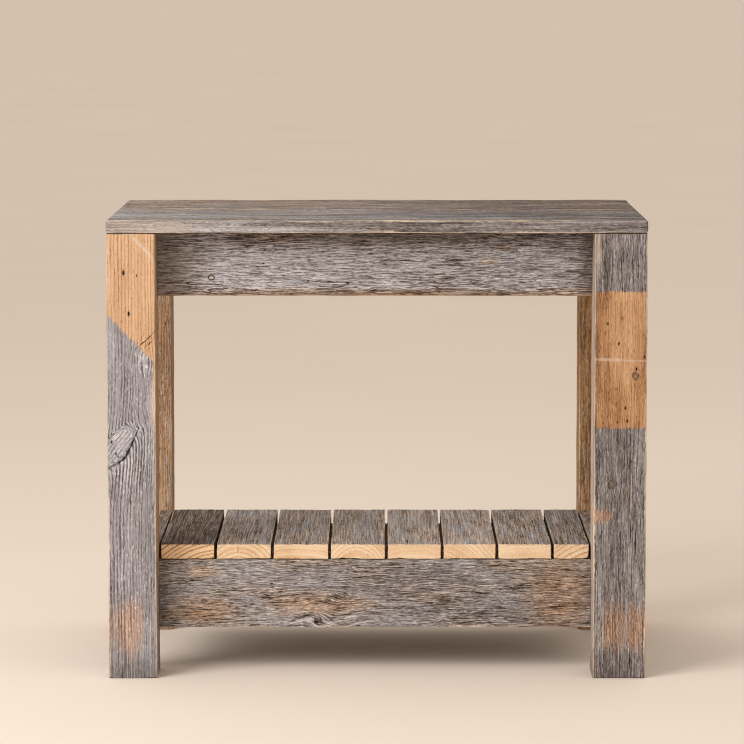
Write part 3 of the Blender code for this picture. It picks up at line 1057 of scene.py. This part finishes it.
def front_apron():
    """Silver in the middle, with painted shade at its ends and under the top, darker along its lower edge,
    and with a plugged hole and small tan stains.
    """
    return Timber(
        "apron_front", LONG_BOARD_AXES, "apron_boards", 111, FRONT_POSTS,
        pith=(0.06, -0.22), slope=0.03, spacing=0.0038, wander=2.2, strand=(0.04, 0.0013),
        # fade here is a painted light falloff, lighter at the left end
        light=1.74, fade=0.03, brown=0.34, contrast=1.55, bands=0.2, flecks=0.9, rings=0.25,
        arris_wear_and_highlight=0.75, rub=0.1, tint=(1.0, 1.01, 1.05),
        plugs=[spot(0.0925, 0.0319, 0.0052, 0.0046, 0.01)],
        holes=[
            hole(0.2573, 0.0259), hole(0.3252, 0.0224), hole(0.184, 0.079, 0.0015),
            hole(0.181, 0.056, 0.0014), hole(0.25, 0.0275, 0.0012),
        ],
        stains=[
            spot(0.5664, 0.0587, 0.016, 0.006, 0.01), spot(0.595, 0.083, 0.012, 0.004, 0.01),
            spot(0.37, 0.0, 0.5, 0.014, 0.02), spot(0.69, 0.004, 0.08, 0.012, 0.02),
        ],
        # Painted shadow of the left post on the left end, painted shade under the top along the upper edge
        # and beside the right post at the right end; the lower edge is only darker
        shade_and_grime=[
            spot(0.0, 0.06, 0.095, 0.2, 0.03), spot(0.37, 0.112, 0.5, 0.034, 0.03),
            spot(0.37, 0.0, 0.5, 0.014, 0.03), spot(0.742, 0.06, 0.03, 0.2, 0.03),
        ],
        shade_and_grime_tint=(0.5, 0.43, 0.36),
    )


def front_rail():
    """Grey with broad tan stains, and a knot at its lower edge."""
    return Timber(
        "rail_front", LONG_BOARD_AXES, "rail_boards", 112, FRONT_POSTS,
        pith=(0.05, -0.18), slope=0.028, spacing=0.004, wander=2.2, strand=(0.03, 0.0013),
        # fade here is a painted light falloff, lighter at the left end
        light=1.3, fade=0.04, brown=0.42, contrast=1.3, bands=0.15, rings=0.2,
        figure=0.4, bleach=0.55, arris_wear_and_highlight=0.65,
        swirls=[
            spot(0.275, 0.012, 0.02, 0.012, 0.012, 0.5),
            spot(0.297, 0.05, 0.018, 0.009, 0.012, 0.4), spot(0.0773, 0.0455, 0.012, 0.008, 0.012),
        ],
        figures=[
            spot(0.275, 0.014, 0.05, 0.026, 0.012), spot(0.3, 0.05, 0.03, 0.016, 0.012),
        ],
        knots=[
            spot(0.2726, 0.0109, 0.006, 0.0048, 0.012), spot(0.0773, 0.0455, 0.0044, 0.0036, 0.01),
        ],
        holes=[hole(0.194, 0.076, 0.0014), hole(0.2705, 0.01, 0.0028)],
        stains=[
            spot(0.69, 0.058, 0.06, 0.08, 0.02), spot(0.08, 0.03, 0.06, 0.025, 0.01),
            spot(0.28, 0.04, 0.09, 0.02, 0.01), spot(0.075, 0.098, 0.03, 0.01, 0.01),
        ],
        stain_tint=(1.3, 1.0, 0.74),
        # Painted shade at the left end, beside the left post
        shade_and_grime=[spot(0.0, 0.06, 0.022, 0.2, 0.03)],
    )


def plain_board(node, axes, seed, posts, pith, brown):
    """An apron or a rail that the photo hides: grey, with no marks but strays."""
    return Timber(node, axes, node.split("_")[0] + "_boards", seed, posts, pith=pith, brown=brown)


def hidden_boards():
    """The rear apron and rail, and the four boards at the sides."""
    boards = [
        plain_board("apron_rear", LONG_BOARD_AXES, 121, REAR_POSTS, (0.02, 0.2), 0.7),
        plain_board("rail_rear", LONG_BOARD_AXES, 122, REAR_POSTS, (0.09, 0.16), 0.6),
    ]
    for number, side in enumerate(("left", "right")):
        posts = ("leg_front_" + side, "leg_rear_" + side)
        boards += [
            plain_board("apron_" + side, SIDE_BOARD_AXES, 123 + number, posts, (0.05, -0.15), 0.7),
            plain_board("rail_" + side, SIDE_BOARD_AXES, 125 + number, posts, (0.07, 0.18), 0.6),
        ]
    return boards


def top_board(place, seed, pith, light, brown, contrast, arris_wear_and_highlight, **extra):
    """A board of the top, paler towards the left through a painted light falloff, and worn round at its ends.
    """
    return Timber(
        "top_board_" + place, TOP_AXES, "top_boards", seed,
        pith=pith, strand=(0.11, 0.0024), light=light, fade=0.09, brown=brown, contrast=contrast,
        bands=0.8, arris_wear_and_highlight=arris_wear_and_highlight, soft_ends=0.0035, stray_faces=BOTTOM_AND_TOP, **extra,
    )


def top_boards():
    """Three boards. The front one is the palest and has a rubbed place at its left end."""
    rubbed = [Mark((0.06, 0.0, 0.008), (0.1, 0.008, 0.018))]
    return [
        top_board("front", 131, (0.12, -0.1), 1.15, 0.3, 0.55, 0.75, rub=0.08, pales=rubbed, paled=0.36),
        top_board("middle", 132, (0.08, -0.12), 0.94, 0.55, 0.8, 0.7),
        top_board("rear", 133, (0.04, -0.12), 0.9, 0.6, 0.8, 0.6),
    ]


def shelf_slat(number, pith, light, rings, **extra):
    """A slat of the shelf, with a grey top and freshly cut ends."""
    return Timber(
        f"slat_{number}", SLAT_AXES, "shelf_slats", 140 + number,
        pith=pith, slope=0.015, spacing=0.0062 + 0.0009 * (number % 3), strand=(0.1, 0.0022),
        light=light, brown=0.53, contrast=1.1, flecks=0.65, rings=rings,
        arris_wear_and_highlight=0.8, rub=0.04, fresh_ends=True, stray_faces=BOTTOM_AND_TOP, stray_knots=0, **extra,
    )


def shelf_slats():
    """Eight slats cut from several boards, so the rings on their fresh front ends all differ."""
    brown_streak = [Mark((0.0, 0.0365, 0.016), (0.004, 0.0013, 0.0075))]
    return [
        # Slat 1 is much darker than the rest: painted shadow of the left post across it
        shelf_slat(1, (0.105, -0.11), 0.42, 1.25, tint=(1.04, 0.985, 0.91)),
        shelf_slat(2, (0.036, -0.026), 1.48, 0.55, stains=brown_streak, stain_tint=(0.78, 0.52, 0.32)),
        shelf_slat(3, (0.047, -0.16), 1.48, 0.18),
        shelf_slat(4, (0.043, -0.024), 1.66, 0.5),
        shelf_slat(5, (0.047, -0.12), 1.86, 0.16),
        shelf_slat(6, (-0.03, -0.09), 2.02, 0.5),
        shelf_slat(7, (0.045, -0.2), 1.58, 0.25),
        shelf_slat(8, (0.085, -0.095), 1.16, 0.8),
    ]


# -------- small pieces that keep their CAD shape


def plain_pine_material(name, tone):
    """Clean pine for the cleats and battens, and for pegs and dowels."""
    net = Net(name)
    coords = net.node("TexCoord", {}, "Object")
    streak = net.noise(coords, (0.12, 0.005, 0.005), 3, 3.0, 0.6)
    fibre = net.noise(coords, (0.03, 0.0014, 0.0014), 4, 3.0, 0.7)
    colour = net.ramp(net.weighed(PINE_LEVEL + tone, (streak, 0.7), (fibre, 0.6)), FRESH_RAMP)
    net.bump(fibre, 0.4, 0.0005)
    return net.surface(colour, net.step(fibre, -0.3, 0.3, 0.6, 0.8), 0.3)


def screw_material():
    """Zinc-plated steel, a little dulled."""
    net = Net("screw_zinc")
    coords = net.node("TexCoord", {}, "Object")
    dull = net.noise(coords, (0.002, 0.002, 0.002), 1, 3.0, 0.6)
    zinc = net.mix(net.step(dull, -0.2, 0.2), (0.6, 0.58, 0.54), (0.42, 0.4, 0.37))
    net.shader.inputs["Metallic"].default_value = 1.0
    return net.surface(zinc, net.step(dull, -0.25, 0.25, 0.28, 0.55), 0.5)


def finish_small_pieces():
    """Gives screws, pegs, dowels, cleats and battens their materials."""
    pine = plain_pine_material("old_pine", -0.5)
    pin = plain_pine_material("pin_wood", -0.12)
    steel = screw_material()
    for name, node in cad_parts.items():
        if "screw" in name:
            finish = steel
        elif name.startswith(("peg_", "top_dowel_")):
            finish = pin
        elif "cleat" in name or "batten" in name:
            finish = pine
        else:
            continue
        for slot in node.material_slots:
            slot.material = finish


# -------- studio

CAMERA_LENS = 169.35
CAMERA_SIDE = 0.0081
CAMERA_DISTANCE = 5.877
CAMERA_HEIGHT = 1.1994
CAMERA_TILT = math.radians(84.442)
CAMERA_SHIFT = (-0.0132, -0.0806)
FLOOR_SIZE = 400.0
FLOOR_COLOUR = (0.84, 0.75, 0.665)
SURROUND_COLOUR = (1.0, 0.9, 0.8, 1.0)
SURROUND_STRENGTH = 0.77
PIXEL_FILTER_WIDTH = 1.1


def add_camera():
    """A long lens straight in front, from a little above the top."""
    data = bpy.data.cameras.new("camera")
    data.lens = CAMERA_LENS
    data.shift_x, data.shift_y = CAMERA_SHIFT
    data.clip_end = 2 * FLOOR_SIZE
    camera = add_object("camera", data)
    front = cad_box[0].y
    camera.location = (CAMERA_SIDE, front - CAMERA_DISTANCE, CAMERA_HEIGHT)
    camera.rotation_euler = (CAMERA_TILT, 0.0, 0.0)
    bpy.context.scene.camera = camera


def floor_material():
    """Matt plaster-like paint, barely mottled."""
    net = Net("pale_floor")
    coords = net.node("TexCoord", {}, "Object")
    cloud = net.noise(coords, (0.9, 0.9, 0.9), 2, 3.0, 0.5)
    grain = net.noise(coords, (0.004, 0.004, 0.004), 3, 2.0, 0.5)
    tone = net.step(net.weighed(cloud, (grain, 0.3)), -0.3, 0.3, 0.985, 1.015)
    shade = net.node("CombineXYZ", {0: tone, 1: tone, 2: tone})
    paint = net.tinted(FLOOR_COLOUR, shade)
    return net.surface(paint, net.step(cloud, -0.3, 0.3, 0.85, 0.95), 0.15)


def add_floor():
    """A floor that reaches as far as the horizon."""
    half = FLOOR_SIZE / 2
    corners = [(-half, -half, 0), (half, -half, 0), (half, half, 0), (-half, half, 0)]
    mesh = bpy.data.meshes.new("floor")
    mesh.from_pydata(corners, [], [(0, 1, 2, 3)])
    mesh.materials.append(floor_material())
    floor = add_object("floor", mesh)


def add_light(name, location, target, size, power, colour, spread=180.0):
    """A square soft box, with a grid over it if its light spreads less than 180 degrees."""
    data = bpy.data.lights.new(name, "AREA")
    data.shape = "SQUARE"
    data.size = size
    data.energy = power
    data.spread = math.radians(spread)
    data.color = colour
    light = add_object(name, data)
    light.location = location
    light.rotation_euler = (Vector(target) - Vector(location)).to_track_quat("-Z", "Y").to_euler()
    light.visible_camera = False


def light_studio():
    """A soft key from the front left, a weak fill from the right, and an even pale surround."""
    add_light("key", (-2.97, -2.86, 2.55), (0.0, 0.0, 0.35), 2.6, 58.0, (1.0, 0.98, 0.96), spread=110.0)
    add_light("fill", (3.2, -3.6, 1.8), (0.0, 0.0, 0.4), 2.5, 8.0, (1.0, 0.94, 0.86))
    world = bpy.data.worlds.new("studio")
    world.use_nodes = True
    background = world.node_tree.nodes["Background"]
    background.inputs["Color"].default_value = SURROUND_COLOUR
    background.inputs["Strength"].default_value = SURROUND_STRENGTH
    scene = bpy.context.scene
    scene.world = world
    scene.view_settings.view_transform = "Standard"
    scene.cycles.filter_width = PIXEL_FILTER_WIDTH


def main():
    timbers = [front_left_post(), front_right_post(), *rear_posts(), front_apron(), front_rail()]
    timbers += hidden_boards() + top_boards() + shelf_slats()
    for timber in timbers:
        coat(timber)
    finish_small_pieces()
    add_floor()
    light_studio()
    add_camera()


main()
